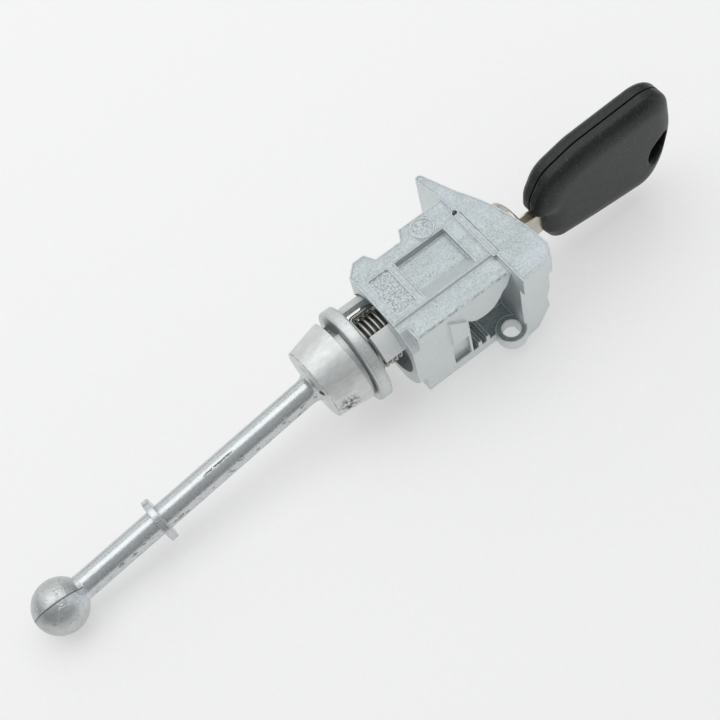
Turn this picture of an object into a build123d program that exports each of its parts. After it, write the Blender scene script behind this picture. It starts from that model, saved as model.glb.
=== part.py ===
from build123d import *
from math import acos, cos, radians, sin, sqrt
import os

# Car door lock cylinder with its key and its lever rod, in millimetres.
# The lock axis is the X axis. The origin is on that axis at the face of the front cap,
# +X leads out to the key, -X back to the driver and the rod, +Z is up.

# Fits
running_gap = 0.05
loose_gap = 0.1
seal_gap = 0.3

# Housing: block behind the head
block_back = -46.8
block_top = 14.0
block_depth = 15.0
block_near_side = 15.0
block_far_side = 11.9
block_edge_radius = 7.0
rear_round_radius = 16.9
rear_round_length = 2.4
strip_edge = 7.7
strip_step = 0.6

# Housing: lugs on the far side that rise past the block
lug_reach = 15.2
rear_lug_slope = 3.4
rear_lug_flat = 3.7
rear_lug_run = 1.8
front_lug_length = 17.0
front_lug_slope = 1.8
lug_depth = 20.0

# Housing: pocket, panel and round boss in the top face
pocket_start = 5.2
pocket_margin = 2.4
pocket_far_edge = 7.5
pocket_near_edge = 7.1
pocket_depth = 1.9
pocket_slope = 4.0
pocket_draft = 0.6
panel_length = 6.6
panel_start = 2.8
panel_width = 13.4
panel_centre_y = 0.8
panel_depth = 0.4
boss_radius = 3.4
boss_x = -22.6
boss_y = 11.1
boss_height = 0.35

# Housing: near side, with raised pad, window and recess under the ledge
pad_length = 5.5
pad_start = 12.0
pad_height = 0.7
pad_top_rear = 11.0
pad_top_front = 6.2
pad_bottom = -1.0
window_depth = 1.4
window_bottom = 11.5
recess_margin = 0.7
recess_depth = 7.0
ledge_start = 4.8
ledge_low = 2.0
ledge_middle = 3.0
ledge_rise = 7.0
ledge_end = 12.4
ledge_low_share = 0.22
ledge_middle_share = 0.6
ledge_rise_share = 0.8
recess_floor = 11.8
rib_width = 1.2
rib_height = 2.2

# Housing: fixing ear with its screw hole
ear_radius = 4.4
ear_hole_radius = 2.75
ear_height = 4.0
ear_offset = 3.4
ear_reach = 1.7
ear_web = 2.6

# Head: flange with the long wing, in one casting with the block
head_back = -13.2
head_top = 14.6
head_depth = 19.0
head_step = 7.4
head_step_back = 2.0
head_near_edge = 20.2
head_near_front = 19.0
head_corner = 1.8
head_front_low = -0.9
wing_tip_y = 25.3
wing_tip_x = -14.2
wing_tip_width = 2.0
wing_root_y = 14.0
wing_root_x = -8.4
wing_depth = 12.0
front_slope_start = 2.0
front_waist_x = -3.9
front_waist_z = -7.6
front_foot_x = -3.3
front_foot_z = -13.0
front_toe_x = -8.0
strip_length = 17.2
strip_width = 2.0
strip_far_end = 8.2
strip_groove = 0.35
strip_groove_depth = 0.45
head_hole_radius = 0.75
head_hole_depth = 3.0

# Front cap and dust seal
cap_radius = 10.95
cap_wall = 1.0
cap_length = 8.9
cap_face = 0.9
cap_edge_radius = 0.7
entry_radius = 5.9
seal_thickness = 0.7

# Plug
plug_radius = 7.0
plug_face_radius = entry_radius - seal_gap
plug_face_setback = 0.3
collar_radius = 8.5
collar_length = 3.3
barrel_end_reach = 3.2
tail_radius = 4.0
tail_flat = 3.3
tail_end_gap = 3.0
stud_hole_depth = 8.0

# Wafers, their slots and springs
wafer_count = 6
wafer_pitch = 3.4
first_wafer_x = -9.6
wafer_thickness = 0.9
wafer_width = 6.6
wafer_radius = 6.9
wafer_window_width = 3.4
wafer_window_height = 10.6
wafer_ear_reach = 5.5
wafer_ear_height = 1.2
wafer_slot_gap = 0.05
nib_reach = 0.75
nib_height = 0.9
wafer_spring_radius = 0.75
wafer_spring_wire = 0.17
wafer_spring_length = 3.3
wafer_spring_turns = 4
wafer_spring_offset = 4.5
ear_travel = 1.2
key_code = (0.15, -0.2, 0.05, 0.2, -0.1, 0.15)

# Key blade
blade_height = 9.0
blade_thickness = 3.0
blade_tip_gap = 6.6
blade_tip_point = 3.0
blade_root_x = 21.0
track_width = 2.6
track_depth = 0.9
track_start_x = -4.0

# Key head
shell_half_thickness = 5.0
shell_wall = 1.7
shell_edge_radius = 2.4
split_groove = 0.45
split_groove_depth = 0.7
chip_length = 12.0
chip_width = 6.0
chip_thickness = 3.0
ring_slot_length = 12.0
ring_slot_width = 3.4
ring_slot_x = 48.4
ring_slot_z = 0.6
ring_slot_angle = 72.0

# Driver behind the housing
flange_radius = 14.4
flange_reach = 7.7
flange_thickness = 3.7
flange_edge_radius = 0.6
hub_clearance = 1.0
hub_length = 2.2
hub_base_radius = 0.7
hub_notch_width = 9.4
hub_notch_depth = 2.8
hub_notch_angle = 53.0
core_radius = 6.6
arm_thickness = 1.6
arm_clearance = 1.125
arm_half_angle = 18.5
arm_angle = 41.5
arm_end_gap = 0.6

# Rear of the housing: well for the driver's arm, and the two stop lugs beside it
well_clearance = 0.6
well_depth = 3.5
stop_half_angle = 18.0
stop_count = 2
stop_gap_to_flange = 1.4

# Return spring round the driver's core
coil_clearance = 0.525
coil_wire = 1.15
coil_pitch = 1.6
coil_turns = 4.75
coil_gap_to_flange = 0.7
coil_leg_angle = 56.0
coil_leg_offset = 1.4
coil_leg_entry = 1.2
coil_leg_bend = 1.2

# Ball stud, coupling pin and pin retainer
stud_shank_radius = 1.95
stud_flange_radius = 4.2
stud_flange_thickness = 1.2
stud_neck_radius = 2.2
stud_ball_radius = 3.4
coupling_pin_radius = 1.5
coupling_pin_end_gap = 0.3
retainer_thickness = 0.8
retainer_width = 2.5
retainer_split = 2.6

# Lever rod: cup, rod, collar and ball in one casting
pivot_reach = 6.0
swing_angle = 2.2
cup_droop_angle = 3.0
rod_droop_angle = 5.93
cup_mouth = 6.5
cup_end = 4.2
cup_wall = 0.9
cup_end_radius = 10.8
cup_edge_radius = 0.4
mouth_step = 1.75
mouth_depth = 2.3
cup_bore_radius = 8.0
cup_bore_end = 1.0
socket_half_angle = 60.0
retainer_seat_width = 1.95
pin_slot_margin = 0.35
pin_slot_reach = 2.55
flare_radius = 6.6
flare_length = 2.8
rod_radius = 3.75
rod_root = 0.6
collar_distance = 54.3
rod_collar_radius = 6.6
rod_collar_thickness = 2.1
collar_edge_radius = 0.2
ball_distance = 88.45
ball_radius = 7.8

os.makedirs("parts", exist_ok=True)

block_front = head_back + 0.6
head_split_z = head_top - head_step
nose_front = -cap_face - seal_thickness
nose_radius = cap_radius - cap_wall - running_gap
cap_seat = -cap_length - loose_gap
collar_front = nose_front - loose_gap
collar_back = collar_front - collar_length
well_floor = block_back + well_depth
barrel_end = block_back + barrel_end_reach
blade_tip_x = barrel_end + blade_tip_gap
retainer_seat_radius = cup_bore_radius + retainer_seat_width
mouth_inner_radius = retainer_seat_radius + mouth_step
cup_mouth_radius = mouth_inner_radius + cup_wall
retainer_inner_radius = retainer_seat_radius - running_gap - retainer_width
pin_slot_radius = retainer_seat_radius - pin_slot_margin
coupling_pin_length = 2 * (pin_slot_radius - coupling_pin_end_gap)
flange_front = block_back - flange_reach
flange_back = flange_front - flange_thickness
hub_radius = mouth_inner_radius - hub_clearance
hub_back = flange_back - hub_length
pivot_x = hub_back - pivot_reach
coil_radius = core_radius + coil_clearance + coil_wire / 2
coil_leg_radius = coil_radius + coil_leg_offset
stop_inner_radius = coil_leg_radius + coil_wire / 2 + loose_gap
arm_inner_radius = coil_leg_radius + coil_wire / 2 + arm_clearance
arm_outer_radius = arm_inner_radius + arm_thickness
well_radius = arm_outer_radius + well_clearance
tail_end = flange_back + tail_end_gap
tail_length = barrel_end - tail_end
plug_front = -plug_face_setback
key_slot_end = blade_tip_x - 1.0


def ring_sector(inner, outer, half_angle):
    """Sector of a ring, centred on the sketch's X axis."""
    with BuildSketch() as sector:
        with BuildLine():
            outside = CenterArc((0, 0), outer, -half_angle, 2 * half_angle)
            inside = CenterArc((0, 0), inner, -half_angle, 2 * half_angle)
            Line(outside @ 0, inside @ 0)
            Line(outside @ 1, inside @ 1)
        make_face()
    return sector.sketch


def head_outline(near_back, near_front):
    """Plan of the head: slanted curved front, wing to the far side, straight back."""
    with BuildSketch() as outline:
        with BuildLine():
            front = ThreePointArc(
                (head_front_low, -near_front + 3.5),
                (-2.9, 0),
                (wing_root_x, wing_root_y),
            )
            tip_front = (wing_tip_x + wing_tip_width, wing_tip_y - wing_tip_width / 2)
            Line(front @ 1, tip_front)
            tip = ThreePointArc(
                tip_front,
                (wing_tip_x + wing_tip_width / 3, wing_tip_y),
                (wing_tip_x - 0.4, wing_tip_y - 1.0),
            )
            Polyline(
                tip @ 1,
                (head_back, wing_root_y),
                (head_back, -near_back),
                (head_front_low - head_corner, -near_front),
                front @ 0,
            )
        make_face()
    return outline.sketch


# Housing: block and head in one casting
head_upper_plan = head_outline(head_near_edge, head_near_front)
head_lower_plan = head_outline(head_near_edge - head_step_back, head_near_front - head_step_back)
stop_section = ring_sector(stop_inner_radius, well_radius + 0.4, stop_half_angle)
pad_back = block_back + pad_start
recess_back = pad_back + pad_length + recess_margin
recess_length = head_back - recess_back
panel_back = block_back + panel_start
pocket_front_x = head_back - pocket_start
pocket_back_x = panel_back + panel_length + pocket_margin
ear_x = head_back - ear_offset
ear_y = -block_near_side - ear_reach

with BuildPart() as housing:
    # Block
    with BuildSketch(Plane.YZ.offset(block_back)) as block_section:
        with BuildLine():
            Polyline(
                (-block_near_side, -block_depth),
                (block_far_side, -block_depth),
                (block_far_side, block_top),
                (-strip_edge, block_top),
                (-strip_edge - strip_step, block_top - strip_step),
                (-block_near_side, block_top - strip_step),
                close=True,
            )
        make_face()
        low_corners = block_section.vertices().group_by(Axis.Y)[0]
        fillet(low_corners.sort_by(Axis.X)[-1], block_edge_radius)
    extrude(amount=block_front - block_back)

    # Lugs on the far side
    with BuildSketch(Plane.XY.offset(block_top)):
        lug_end = block_back + rear_lug_slope + rear_lug_flat + rear_lug_run
        with BuildLine():
            Polyline(
                (block_back, 0),
                (block_back, block_far_side),
                (block_back + rear_lug_slope, lug_reach),
                (block_back + rear_lug_slope + rear_lug_flat, lug_reach),
                (lug_end, block_far_side),
                (lug_end, 0),
                close=True,
            )
        make_face()
        with BuildLine():
            Polyline(
                (block_front, 0),
                (block_front - front_lug_length, 0),
                (block_front - front_lug_length, block_far_side),
                (block_front - front_lug_length + front_lug_slope, lug_reach),
                (block_front, lug_reach),
                close=True,
            )
        make_face()
    extrude(amount=-lug_depth)

    # Head: upper and lower step, with a wing that stops short of the bottom
    with BuildSketch(Plane.XY.offset(head_split_z)):
        add(head_upper_plan)
    extrude(amount=head_step)
    with BuildSketch(Plane.XY.offset(-head_depth)):
        add(head_lower_plan)
    extrude(amount=head_depth + head_split_z)
    with BuildSketch(Plane.XY.offset(-head_depth)):
        with Locations((head_back / 2, wing_tip_y)):
            Rectangle(2 * abs(head_back) + 8, 2 * (wing_tip_y - lug_reach))
    extrude(amount=head_depth - wing_depth, mode=Mode.SUBTRACT)

    # The head's front leans back below the cap, and again under a foot near the bottom
    with BuildSketch(Plane.XZ):
        with BuildLine():
            Polyline(
                (head_front_low, front_slope_start),
                (head_front_low + 4, front_slope_start),
                (head_front_low + 4, -head_depth),
                (front_toe_x, -head_depth),
                (front_foot_x, front_foot_z),
                (front_waist_x, front_waist_z),
                close=True,
            )
        make_face()
    extrude(amount=wing_tip_y + 2, both=True, mode=Mode.SUBTRACT)

    # Pocket with one sloped side, panel, and raised boss in the top face
    with BuildSketch(Plane.YZ.offset(pocket_back_x)):
        with BuildLine():
            Polyline(
                (pocket_far_edge, block_top),
                (pocket_far_edge - pocket_draft, block_top - pocket_depth),
                (-pocket_near_edge + pocket_slope, block_top - pocket_depth),
                (-pocket_near_edge, block_top),
                close=True,
            )
        make_face()
    extrude(amount=pocket_front_x - pocket_back_x, mode=Mode.SUBTRACT)
    with BuildSketch(Plane.XY.offset(block_top)):
        with Locations((panel_back + panel_length / 2, panel_centre_y)):
            RectangleRounded(panel_length, panel_width, 0.8)
    extrude(amount=-panel_depth, mode=Mode.SUBTRACT)
    with BuildSketch(Plane.XY.offset(block_top)):
        with Locations((boss_x, boss_y)):
            Circle(boss_radius)
    extrude(amount=boss_height)

    # Raised strip along the head's back edge, its groove, and the small hole at its end
    strip_centre_y = strip_far_end - strip_length / 2
    with BuildSketch(Plane.XY.offset(block_top - 1)):
        with Locations((head_back + 0.1, strip_centre_y)):
            Rectangle(strip_width, strip_length)
    extrude(amount=head_top - block_top + 1)
    with BuildSketch(Plane.XY.offset(head_top)):
        with Locations((head_back + 0.1 + (strip_width + strip_groove) / 2, strip_centre_y)):
            Rectangle(strip_groove, strip_length)
    extrude(amount=-strip_groove_depth, mode=Mode.SUBTRACT)
    with BuildSketch(Plane.XY.offset(head_top)):
        with Locations((head_back + 0.1, strip_far_end + head_hole_radius)):
            Circle(head_hole_radius)
    extrude(amount=-head_hole_depth, mode=Mode.SUBTRACT)

    # Near side: raised pad with a shallow window below it
    pad_x = pad_back + pad_length / 2
    with BuildSketch(Plane.XZ.offset(block_near_side)):
        with BuildLine():
            Polyline(
                (pad_back, pad_bottom),
                (pad_back + pad_length, pad_bottom),
                (pad_back + pad_length, pad_top_front),
                (pad_back, pad_top_rear),
                close=True,
            )
        make_face()
    extrude(amount=pad_height, taper=12)
    with BuildSketch(Plane.XZ.offset(block_near_side)):
        with Locations((pad_x, (pad_bottom - window_bottom) / 2)):
            Rectangle(pad_length, window_bottom + pad_bottom)
    extrude(amount=-window_depth, taper=10, mode=Mode.SUBTRACT)

    # Near side: recess under the ledge, open towards the viewer
    with BuildSketch(Plane.XZ.offset(block_near_side - recess_depth)):
        with BuildLine():
            ledge = Spline(
                (recess_back, ledge_start),
                (recess_back + ledge_low_share * recess_length, ledge_low),
                (recess_back + ledge_middle_share * recess_length, ledge_middle),
                (recess_back + ledge_rise_share * recess_length, ledge_rise),
                (head_back, ledge_end),
                tangents=((1, -1.5), (1, 2.7)),
            )
            Polyline(ledge @ 1, (head_back, -recess_floor), (recess_back, -recess_floor), ledge @ 0)
        make_face()
    extrude(amount=recess_depth + 1, mode=Mode.SUBTRACT)
    with BuildSketch(Plane.XZ.offset(block_near_side - recess_depth)):
        with Locations(
            (recess_back + 2.4, -recess_floor + rib_height / 2),
            (recess_back + 5.2, -recess_floor + rib_height / 2),
        ):
            Rectangle(rib_width, rib_height)
    extrude(amount=recess_depth)

    # Fixing ear at the foot of the recess
    with BuildSketch(Plane.XY.offset(-block_depth)):
        with Locations((ear_x, ear_y)):
            Circle(ear_radius)
        with Locations((ear_x, (ear_y - block_near_side + recess_depth) / 2)):
            Rectangle(2 * ear_radius, abs(ear_y) - block_near_side + recess_depth)
    extrude(amount=ear_web)
    with BuildSketch(Plane.XY.offset(-block_depth)):
        with Locations((ear_x, ear_y)):
            Circle(ear_radius)
    extrude(amount=ear_height)
    with BuildSketch(Plane.XY.offset(-block_depth)):
        with Locations((ear_x, ear_y)):
            Circle(ear_hole_radius)
    extrude(amount=ear_height, mode=Mode.SUBTRACT)

    # Seat for the cap round a nose that carries the seal
    with BuildSketch(Plane.YZ.offset(cap_seat)):
        Circle(cap_radius + loose_gap)
    extrude(amount=abs(cap_seat) + 1, mode=Mode.SUBTRACT)
    with BuildSketch(Plane.YZ.offset(cap_seat - 0.5)):
        Circle(nose_radius)
    extrude(amount=nose_front - cap_seat + 0.5)

    # The near side of the rear end is turned round, concentric with the driver
    with BuildSketch(Plane.YZ.offset(block_back)):
        with Locations((-block_near_side, 0)):
            Rectangle(2 * block_near_side, 2 * block_depth + 2)
        Circle(rear_round_radius, mode=Mode.SUBTRACT)
    extrude(amount=rear_round_length, mode=Mode.SUBTRACT)

    # Well for the driver's arm, and the stop lugs that stand in it
    with BuildSketch(Plane.YZ.offset(block_back - 1)):
        Circle(well_radius)
    extrude(amount=well_depth + 1, mode=Mode.SUBTRACT)
    with BuildSketch(Plane.YZ.offset(flange_front + stop_gap_to_flange)):
        with PolarLocations(0, stop_count, start_angle=arm_angle + 90):
            add(stop_section)
    extrude(amount=well_floor - flange_front - stop_gap_to_flange + 0.5)

    # Hole in the well's floor for the return spring's straight leg
    with BuildSketch(Plane.YZ.offset(well_floor)):
        with PolarLocations(coil_leg_radius, 1, start_angle=coil_leg_angle):
            Circle(coil_wire / 2 + loose_gap)
    extrude(amount=coil_leg_entry + 0.6, mode=Mode.SUBTRACT)

    # Bore for the plug, counterbore for its collar, channels for lifted wafers
    with BuildSketch(Plane.YZ.offset(block_back - 8)):
        Circle(plug_radius + running_gap)
    extrude(amount=abs(block_back) + 8, mode=Mode.SUBTRACT)
    with BuildSketch(Plane.YZ.offset(collar_back - running_gap)):
        Circle(collar_radius + running_gap)
    extrude(amount=abs(collar_back) + 1, mode=Mode.SUBTRACT)
    channel_length = wafer_count * wafer_pitch + 3
    with BuildSketch(Plane.YZ.offset(first_wafer_x + 2.5 - channel_length)):
        Rectangle(wafer_width + 0.6, 2 * (plug_radius + 1.5))
    extrude(amount=channel_length, mode=Mode.SUBTRACT)
housing.part.label = "housing"

# Front cap: drawn steel ring over the nose
with BuildPart() as face_cap:
    with BuildSketch(Plane.YZ.offset(-cap_length)):
        Circle(cap_radius)
    extrude(amount=cap_length)
    with BuildSketch(Plane.YZ.offset(-cap_length)):
        Circle(cap_radius - cap_wall)
    extrude(amount=cap_length - cap_face, mode=Mode.SUBTRACT)
    with BuildSketch(Plane.YZ):
        Circle(entry_radius)
    extrude(amount=-cap_face, mode=Mode.SUBTRACT)
    cap_edges = face_cap.edges().filter_by(GeomType.CIRCLE).group_by(Axis.X)[-1]
    fillet(cap_edges.sort_by(SortBy.RADIUS)[-1], cap_edge_radius)
    chamfer(
        face_cap.edges().filter_by(GeomType.CIRCLE).group_by(Axis.X)[-1].sort_by(SortBy.RADIUS)[0], 0.25
    )
face_cap.part.label = "face_cap"

# Dust seal between the cap and the nose
with BuildPart() as dust_seal:
    with BuildSketch(Plane.YZ.offset(nose_front)):
        Circle(nose_radius - loose_gap)
        Circle(entry_radius, mode=Mode.SUBTRACT)
    extrude(amount=seal_thickness)
dust_seal.part.label = "dust_seal"

# Plug: face, collar, barrel and flatted tail, with the key slot and the wafer slots
wafer_places = [first_wafer_x - i * wafer_pitch for i in range(wafer_count)]
with BuildPart() as plug:
    with BuildSketch(Plane.XY) as plug_profile:
        with BuildLine():
            Polyline(
                (plug_front, 0),
                (plug_front, plug_face_radius),
                (collar_front, plug_face_radius),
                (collar_front, collar_radius),
                (collar_back, collar_radius),
                (collar_back, plug_radius),
                (barrel_end, plug_radius),
                (barrel_end, tail_radius),
                (tail_end, tail_radius),
                (tail_end, 0),
                close=True,
            )
        make_face()
    revolve(axis=Axis.X)
    with BuildSketch(Plane.YZ.offset(tail_end)):
        with Locations((0, tail_flat + tail_radius / 2), (0, -tail_flat - tail_radius / 2)):
            Rectangle(2 * tail_radius + 1, tail_radius)
    extrude(amount=tail_length - loose_gap, mode=Mode.SUBTRACT)
    with BuildSketch(Plane.YZ.offset(tail_end)):
        Circle(stud_shank_radius + running_gap)
    extrude(amount=stud_hole_depth, mode=Mode.SUBTRACT)
    with BuildSketch(Plane.YZ.offset(key_slot_end)):
        Rectangle(blade_thickness + 2 * running_gap, blade_height + 2 * running_gap)
    extrude(amount=plug_front - key_slot_end, mode=Mode.SUBTRACT)
    slot_thickness = wafer_thickness + 2 * wafer_slot_gap
    slot_inner = wafer_width / 2 - 0.2
    slot_outer = wafer_ear_reach + 0.15
    slot_top = wafer_ear_height + ear_travel
    slot_bottom = wafer_spring_length + 0.2
    for index, place in enumerate(wafer_places):
        side = 1 if index % 2 == 0 else -1
        with BuildSketch(Plane.YZ.offset(place - slot_thickness / 2)):
            Rectangle(wafer_width + 2 * wafer_slot_gap, 2 * plug_radius + 1)
            with Locations((side * (slot_inner + slot_outer) / 2, (slot_top - slot_bottom) / 2)):
                Rectangle(slot_outer - slot_inner, slot_top + slot_bottom)
        extrude(amount=slot_thickness, mode=Mode.SUBTRACT)
        with BuildSketch(Plane.XY.offset(-slot_bottom)):
            with Locations((place, side * wafer_spring_offset)):
                Circle(wafer_spring_radius + wafer_spring_wire + loose_gap)
        extrude(amount=slot_bottom, mode=Mode.SUBTRACT)
plug.part.label = "plug"

# Wafers and their springs, the ears to alternate sides
for index, place in enumerate(wafer_places):
    side = 1 if index % 2 == 0 else -1
    with BuildPart() as wafer:
        with BuildSketch(Plane.YZ.offset(place - wafer_thickness / 2)):
            Rectangle(wafer_width, 2 * plug_radius + 1)
            Circle(wafer_radius, mode=Mode.INTERSECT)
            with Locations((side * (slot_inner + wafer_ear_reach) / 2, wafer_ear_height / 2)):
                Rectangle(wafer_ear_reach - slot_inner, wafer_ear_height)
            Rectangle(wafer_window_width, wafer_window_height, mode=Mode.SUBTRACT)
            nib_y = -side * (wafer_window_width - nib_reach) / 2
            with Locations((nib_y, key_code[index % len(key_code)])):
                Rectangle(nib_reach, nib_height)
        extrude(amount=wafer_thickness)
    wafer.part.label = f"wafer_{index + 1}"
    export_step(wafer.part, f"parts/wafer_{index + 1}.step")

    spring_foot = (place, side * wafer_spring_offset, -wafer_spring_length + wafer_spring_wire)
    spring_rise = wafer_spring_length - 2 * wafer_spring_wire
    with BuildPart() as wafer_spring:
        with BuildLine() as coil_path:
            Helix(
                pitch=spring_rise / wafer_spring_turns,
                height=spring_rise,
                radius=wafer_spring_radius,
                center=spring_foot,
            )
        with BuildSketch(Plane(origin=coil_path.line @ 0, z_dir=coil_path.line % 0)):
            Circle(wafer_spring_wire)
        sweep(path=coil_path.line, is_frenet=True)
    wafer_spring.part.label = f"wafer_spring_{index + 1}"
    export_step(wafer_spring.part, f"parts/wafer_spring_{index + 1}.step")

# Key blade: flat bar with a waved track milled into both faces and a pointed tip
with BuildPart() as key_blade:
    with BuildSketch(Plane.XZ.offset(-blade_thickness / 2)) as blade_side:
        with BuildLine():
            Polyline(
                (blade_root_x, -blade_height / 2),
                (blade_root_x, blade_height / 2),
                (blade_tip_x + blade_tip_point, blade_height / 2),
                (blade_tip_x, blade_height / 6),
                (blade_tip_x, -blade_height / 6),
                (blade_tip_x + blade_tip_point, -blade_height / 2),
                close=True,
            )
        make_face()
    extrude(amount=blade_thickness)
    track_points = [(track_start_x, 0)]
    track_points += [(x, key_code[i % len(key_code)]) for i, x in enumerate(wafer_places)]
    last_wafer_x = wafer_places[-1]
    run_out = (blade_tip_x - 1 - last_wafer_x) / 3
    track_points += [(last_wafer_x + i * run_out, 0) for i in (1, 2, 3)]
    with BuildSketch(Plane.XZ.offset(-blade_thickness / 2)) as track_plan:
        with BuildLine():
            upper = Spline([(x, z + track_width / 2) for x, z in track_points])
            lower = Spline([(x, z - track_width / 2) for x, z in track_points])
            Line(upper @ 0, lower @ 0)
            Line(upper @ 1, lower @ 1)
        make_face()
    extrude(amount=track_depth, mode=Mode.SUBTRACT)
    with BuildSketch(Plane.XZ.offset(blade_thickness / 2)):
        add(track_plan.sketch_local)
    extrude(amount=-track_depth, mode=Mode.SUBTRACT)
key_blade.part.label = "key_blade"

# Key head: two moulded shells that meet on the blade's middle plane
key_outline_points = (
    (4.9, 0.5),
    (5.3, 11.5),
    (9.4, 19.4),
    (21.0, 22.6),
    (45.5, 23.7),
    (51.6, 20.2),
    (52.9, 6.5),
    (49.6, -6.4),
    (44.4, -13.7),
    (25.5, -11.7),
    (10.5, -9.4),
)
key_outline_radii = (5.0, 8.0, 9.0, 20.0, 6.0, 5.0, 7.0, 8.0, 6.0, 30.0, 8.0)


def key_outline(inset):
    """Side view of the key head, drawn in by the given inset."""
    with BuildSketch() as outline:
        with BuildLine():
            FilletPolyline(*key_outline_points, radius=list(key_outline_radii), close=True)
        make_face()
        if inset > 0:
            offset(amount=-inset, mode=Mode.REPLACE)
    return outline.sketch


shell_plan = key_outline(0)
groove_plan = key_outline(split_groove_depth)
hollow_plan = key_outline(shell_wall)
chip_x = 31.0
chip_z = 6.0
blade_pocket_depth = blade_thickness / 2
shell_depth = shell_half_thickness - split_groove / 2
hollow_start = blade_root_x + 2.5
hollow_end = 43.0

for side, shell_name in ((1, "key_shell_right"), (-1, "key_shell_left")):
    with BuildPart() as key_shell:
        with BuildSketch(Plane.XZ.offset(side * split_groove / 2)):
            add(shell_plan)
        extrude(amount=side * shell_depth)
        rim = key_shell.faces().sort_by(Axis.Y)[0 if side > 0 else -1].edges()
        fillet(rim, shell_edge_radius)
        with BuildSketch(Plane.XZ):
            add(groove_plan)
        extrude(amount=side * split_groove / 2)
        # Pocket for the blade's root and hollow for the chip
        with BuildSketch(Plane.XZ):
            with Locations(((blade_root_x + 2) / 2, 0)):
                Rectangle(blade_root_x - 2, blade_height)
        extrude(amount=side * blade_pocket_depth, mode=Mode.SUBTRACT)
        with BuildSketch(Plane.XZ):
            add(hollow_plan)
            with Locations(((hollow_start + hollow_end) / 2, 0)):
                Rectangle(hollow_end - hollow_start, 80, mode=Mode.INTERSECT)
        extrude(amount=side * (shell_half_thickness - shell_wall), mode=Mode.SUBTRACT)
        # Cradle that holds the chip
        with BuildSketch(Plane.XZ.offset(side * chip_thickness / 2)):
            with Locations((chip_x, chip_z)):
                Rectangle(chip_length + 2, chip_width + 2)
        extrude(amount=side * (shell_half_thickness - shell_wall / 2 - chip_thickness / 2))
        # Key-ring slot beside the edge
        with BuildSketch(Plane.XZ):
            with Locations(Location((ring_slot_x, ring_slot_z), ring_slot_angle)):
                SlotOverall(ring_slot_length, ring_slot_width)
        extrude(amount=side * shell_half_thickness, mode=Mode.SUBTRACT)
    key_shell.part.label = shell_name
    export_step(key_shell.part, f"parts/{shell_name}.step")

# Transponder chip
with BuildPart() as transponder:
    with BuildSketch(Plane.XZ.offset(-chip_thickness / 2)):
        with Locations((chip_x, chip_z)):
            RectangleRounded(chip_length, chip_width, 0.8)
    extrude(amount=chip_thickness)
transponder.part.label = "transponder"

# Driver: flange with notched hub, core, and one arm that reaches into the housing
arm_section = ring_sector(arm_inner_radius, arm_outer_radius, arm_half_angle)
core_front = barrel_end - loose_gap
with BuildPart() as driver:
    with BuildSketch(Plane.YZ.offset(flange_back)):
        Circle(flange_radius)
    extrude(amount=flange_thickness)
    rim = driver.edges().filter_by(GeomType.CIRCLE)
    fillet(rim, flange_edge_radius)
    with BuildSketch(Plane.XY) as hub_profile:
        with BuildLine():
            hub_foot = RadiusArc(
                (flange_back, hub_radius + hub_base_radius),
                (flange_back - hub_base_radius, hub_radius),
                hub_base_radius,
            )
            Polyline(
                hub_foot @ 1,
                (hub_back, hub_radius),
                (hub_back, 0),
                (flange_front, 0),
                (flange_front, hub_radius),
                (flange_back, hub_radius + hub_base_radius),
            )
        make_face()
    revolve(axis=Axis.X)
    with BuildSketch(Plane.YZ.offset(hub_back)):
        with PolarLocations(hub_radius, 2, start_angle=hub_notch_angle):
            Rectangle(2 * hub_notch_depth, hub_notch_width)
    extrude(amount=hub_length, mode=Mode.SUBTRACT)
    with BuildSketch(Plane.YZ.offset(flange_front)):
        Circle(core_radius)
    extrude(amount=core_front - flange_front)
    with BuildSketch(Plane.YZ.offset(flange_front - 0.5)):
        with PolarLocations(0, 1, start_angle=arm_angle):
            add(arm_section)
    extrude(amount=well_floor - arm_end_gap - flange_front + 0.5)
    with BuildSketch(Plane.YZ.offset(tail_end - 2 * loose_gap)):
        Circle(tail_radius + running_gap)
        Rectangle(2 * tail_radius + 1, 2 * (tail_flat + running_gap), mode=Mode.INTERSECT)
    extrude(amount=core_front - tail_end + 2 * loose_gap, mode=Mode.SUBTRACT)
    with BuildSketch(Plane.YZ.offset(hub_back)):
        Circle(stud_shank_radius + loose_gap)
    extrude(amount=tail_end - hub_back, mode=Mode.SUBTRACT)
driver.part.label = "driver"

# Return spring: coils round the core, one straight leg along the axis into the housing
coil_start_x = flange_front + coil_gap_to_flange + coil_wire / 2
leg_run = sqrt(coil_leg_radius**2 - coil_radius**2)
coil_start_angle = radians(coil_leg_angle) + acos(coil_radius / coil_leg_radius)
start_direction = (0, cos(coil_start_angle), sin(coil_start_angle))
coil_plane = Plane(origin=(coil_start_x, 0, 0), x_dir=start_direction, z_dir=(1, 0, 0))
coil_line = coil_plane * Helix(pitch=coil_pitch, height=coil_pitch * coil_turns, radius=coil_radius)
along_axis = Vector(1, 0, 0)
start_tangent = coil_line % 0
flat_tangent = Vector(0, start_tangent.Y, start_tangent.Z).normalized()
bend_start = coil_line @ 0 - flat_tangent * (leg_run - coil_leg_bend)
bend_centre = bend_start + along_axis * coil_leg_bend
bend_middle = bend_centre - (flat_tangent + along_axis) * (coil_leg_bend / sqrt(2))
bend_end = bend_centre - flat_tangent * coil_leg_bend
with BuildPart() as return_spring:
    with BuildLine() as spring_path:
        add(coil_line)
        Line(coil_line @ 0, bend_start)
        ThreePointArc(bend_start, bend_middle, bend_end)
        Line(bend_end, (well_floor + coil_leg_entry, bend_end.Y, bend_end.Z))
    with BuildSketch(Plane(origin=coil_line @ 1, z_dir=coil_line % 1)):
        Circle(coil_wire / 2)
    sweep(path=spring_path.line)
return_spring.part.label = "return_spring"

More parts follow.
